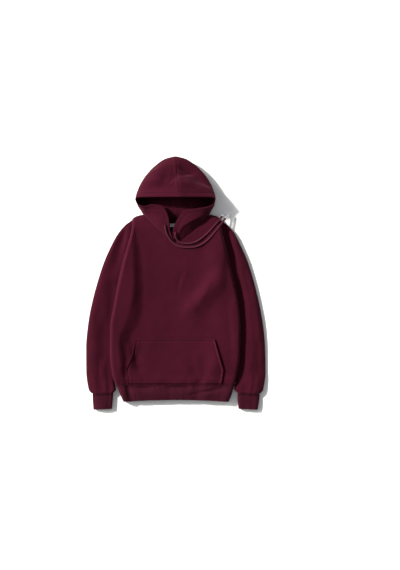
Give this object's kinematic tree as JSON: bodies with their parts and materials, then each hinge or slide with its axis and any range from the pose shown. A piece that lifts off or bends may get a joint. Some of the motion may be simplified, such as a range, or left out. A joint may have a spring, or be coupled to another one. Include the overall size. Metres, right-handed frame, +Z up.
{
  "type": "pullover hoodie",
  "caption": "Long-sleeved fleece pullover with a drawstring hood, front pouch pocket and ribbed cuffs and hem, lying flat on its back.",
  "frame": {"origin": "on the surface the garment lies on, at the middle of its outline's box", "axes": "+X towards sleeve_right, which is on the wearer's left; +Y from hem to hood; +Z up, out of the garment's front"},
  "size_m": [0.6454, 0.91, 0.1145],
  "materials": {
    "fleece": "brushed cotton fleece, matt",
    "rib": "ribbed knit, matt",
    "cord": "braided cotton cord",
    "label_cloth": "blank woven satin",
    "tip_metal": "smooth"
  },
  "bodies": {
    "root": {"front_body": "fleece", "back_body": "fleece", "sleeve_left": "fleece", "sleeve_right": "fleece", "kangaroo_pocket": "fleece", "hood_left": "fleece", "hood_right": "fleece", "cuff_left": "rib", "cuff_right": "rib", "hem_rib": "rib", "neck_label": "label_cloth", "drawcord_left": "cord", "drawcord_right": "cord", "cord_tip_left": "tip_metal", "cord_tip_right": "tip_metal"}
  },
  "joints": []
}
